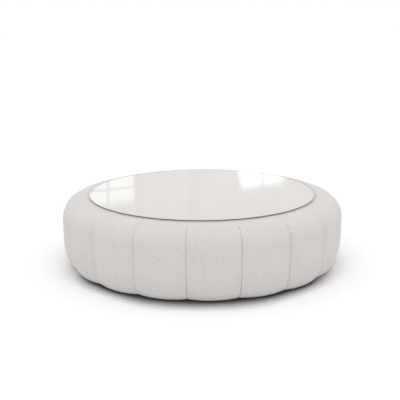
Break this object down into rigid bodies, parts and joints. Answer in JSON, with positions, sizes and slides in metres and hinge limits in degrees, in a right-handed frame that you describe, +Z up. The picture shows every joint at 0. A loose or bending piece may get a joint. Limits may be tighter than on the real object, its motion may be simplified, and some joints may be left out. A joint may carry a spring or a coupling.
{
  "type": "upholstered coffee table",
  "caption": "Low round coffee table: a drum of padded vertical fabric channels on a timber carcass, with a loose round sheet of glass on a cloth-covered deck panel.",
  "frame": {"origin": "on the floor, under the centre of the table", "axes": "+Z up; the pictured side faces -Y, +X to its right"},
  "size_m": [1.1966, 1.1982, 0.29],
  "materials": {
    "cloth": "matte off-white basket weave upholstery cloth, padded",
    "glass": "clear toughened glass with a ground and polished edge",
    "clear_pad": "clear soft silicone",
    "wadding": "white fibre wadding and cotton backing cloth",
    "foam": "open-cell upholstery foam",
    "plywood": "birch plywood, unfinished",
    "timber": "planed softwood, unfinished",
    "bent_board": "thin hardboard bent round the drum",
    "screw_steel": "zinc-plated steel",
    "dark_cloth": "black non-woven cloth",
    "foot_plastic": "black moulded nylon"
  },
  "bodies": {
    "table": {"deck_cover": "cloth", "deck_pad": "wadding", "deck_board": "plywood", "deck_dowels": "timber", "top_board": "plywood", "rail_x": "timber", "rail_y": "timber", "frame_dowels": "timber", "top_screws": "screw_steel", "foam_wrap": "foam", "backing_cloth": "wadding", "base_board": "plywood", "base_screws": "screw_steel", "dust_cover": "dark_cloth", "foot_screws": "screw_steel", "channel_01": "cloth", "channel_02": "cloth", "channel_03": "cloth", "channel_04": "cloth", "channel_05": "cloth", "channel_06": "cloth", "channel_07": "cloth", "channel_08": "cloth", "channel_09": "cloth", "channel_10": "cloth", "channel_11": "cloth", "channel_12": "cloth", "channel_13": "cloth", "channel_14": "cloth", "channel_15": "cloth", "channel_16": "cloth", "channel_17": "cloth", "channel_18": "cloth", "post_1": "timber", "post_2": "timber", "post_3": "timber", "post_4": "timber", "post_5": "timber", "post_6": "timber", "post_7": "timber", "post_8": "timber", "inner_post_1": "timber", "inner_post_2": "timber", "inner_post_3": "timber", "inner_post_4": "timber", "wall_panel_1": "bent_board", "wall_panel_2": "bent_board", "wall_panel_3": "bent_board", "foot_1": "foot_plastic", "foot_2": "foot_plastic", "foot_3": "foot_plastic", "foot_4": "foot_plastic", "foot_5": "foot_plastic", "foot_6": "foot_plastic", "foot_7": "foot_plastic", "foot_8": "foot_plastic"},
    "glass": {"glass_top": "glass", "glass_bumpers": "clear_pad"}
  },
  "joints": [
    {"name": "glass_lift", "type": "slide", "parent": "table", "child": "glass", "axis": [0, 0, 1], "range_m": [0, 0.1]}
  ]
}
